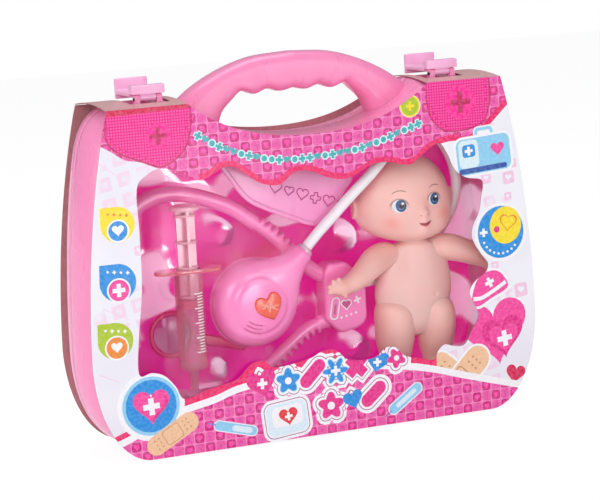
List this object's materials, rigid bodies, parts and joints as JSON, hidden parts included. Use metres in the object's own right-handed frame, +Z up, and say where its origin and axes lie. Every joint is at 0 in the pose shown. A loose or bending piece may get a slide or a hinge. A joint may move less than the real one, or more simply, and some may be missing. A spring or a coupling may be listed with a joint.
{
  "type": "toy doctor case",
  "caption": "Toy doctor case with a hinged clear-fronted lid, latches, carry handle, card sleeve, and a blister tray holding a doll, stethoscope, syringe, nurse cap and hand lens.",
  "frame": {"origin": "bottom centre of the closed case, on the surface its feet stand on", "axes": "+Z up, the clear window faces -Y, +X to the right seen from the front, along the case's width"},
  "size_m": [0.305, 0.066, 0.241],
  "materials": {
    "shell_plastic": "glossy moulded polypropylene",
    "latch_plastic": "satin moulded plastic",
    "clear_plastic": "clear thermoformed sheet",
    "printed_card": "printed and varnished card",
    "backing_card": "printed card",
    "doll_vinyl": "soft matt vinyl",
    "syringe_plastic": "clear tinted plastic",
    "piston_rubber": "soft rubber",
    "toy_plastic": "glossy moulded plastic",
    "button_plastic": "glossy moulded plastic",
    "tube_vinyl": "soft white hose",
    "pin_steel": "drawn wire",
    "lens_plastic": "glossy moulded plastic"
  },
  "bodies": {
    "case": {"rear_shell": "shell_plastic", "back_card": "printed_card", "backing_card": "backing_card", "blister_tray": "clear_plastic", "doll_torso": "doll_vinyl", "syringe_barrel": "syringe_plastic", "stethoscope_chest_shell": "toy_plastic", "stethoscope_back_cover": "toy_plastic", "button_spring": "pin_steel", "stethoscope_tube": "tube_vinyl", "stethoscope_yoke": "toy_plastic", "yoke_cover": "toy_plastic", "ear_arm_upper": "toy_plastic", "ear_arm_lower": "toy_plastic", "nurse_cap": "toy_plastic", "hand_lens_frame": "lens_plastic", "hand_lens_glass": "clear_plastic", "hinge_pin_left": "pin_steel", "hinge_pin_right": "pin_steel"},
    "lid": {"front_shell": "shell_plastic", "window_pane": "clear_plastic", "front_card": "printed_card", "latch_pin_left": "pin_steel", "latch_pin_right": "pin_steel"},
    "latch_left": {"latch_left": "latch_plastic"},
    "latch_right": {"latch_right": "latch_plastic"},
    "doll_head": {"doll_head": "doll_vinyl"},
    "doll_arm_left": {"doll_arm_left": "doll_vinyl"},
    "doll_arm_right": {"doll_arm_right": "doll_vinyl"},
    "doll_leg_left": {"doll_leg_left": "doll_vinyl"},
    "doll_leg_right": {"doll_leg_right": "doll_vinyl"},
    "syringe_plunger": {"syringe_plunger": "syringe_plastic", "syringe_piston": "piston_rubber"},
    "heart_button": {"heart_button": "button_plastic"}
  },
  "joints": [
    {"name": "lid_hinge", "type": "hinge", "parent": "case", "child": "lid", "pos_m": [0, 0, 0.003], "axis": [1, 0, 0], "range_deg": [0, 150]},
    {"name": "latch_left_hinge", "type": "hinge", "parent": "lid", "child": "latch_left", "pos_m": [-0.0985, -0.014, 0.2208], "axis": [1, 0, 0], "range_deg": [0, 90]},
    {"name": "latch_right_hinge", "type": "hinge", "parent": "lid", "child": "latch_right", "pos_m": [0.0985, -0.014, 0.2208], "axis": [1, 0, 0], "range_deg": [0, 90]},
    {"name": "doll_head_turn", "type": "hinge", "parent": "case", "child": "doll_head", "pos_m": [0.075, -0.004, 0.112], "axis": [0, 0, 1], "range_deg": [-12, 12]},
    {"name": "doll_arm_left_swing", "type": "hinge", "parent": "case", "child": "doll_arm_left", "pos_m": [0.055, -0.004, 0.105], "axis": [1, 0, 0], "range_deg": [-8, 3]},
    {"name": "doll_arm_right_swing", "type": "hinge", "parent": "case", "child": "doll_arm_right", "pos_m": [0.095, -0.004, 0.105], "axis": [1, 0, 0], "range_deg": [-8, 8]},
    {"name": "doll_leg_left_swing", "type": "hinge", "parent": "case", "child": "doll_leg_left", "pos_m": [0.0607, -0.004, 0.069], "axis": [1, 0, 0], "range_deg": [-8, 8]},
    {"name": "doll_leg_right_swing", "type": "hinge", "parent": "case", "child": "doll_leg_right", "pos_m": [0.0893, -0.004, 0.069], "axis": [1, 0, 0], "range_deg": [-8, 8]},
    {"name": "syringe_plunger_slide", "type": "slide", "parent": "case", "child": "syringe_plunger", "axis": [0, 0, -1], "range_m": [0, 0.036]},
    {"name": "heart_button_press", "type": "slide", "parent": "case", "child": "heart_button", "axis": [0, 1, 0], "range_m": [0, 0.0015], "stiffness_N_per_m": 300, "springref_m": -0.001, "deforming": ["button_spring"]}
  ]
}
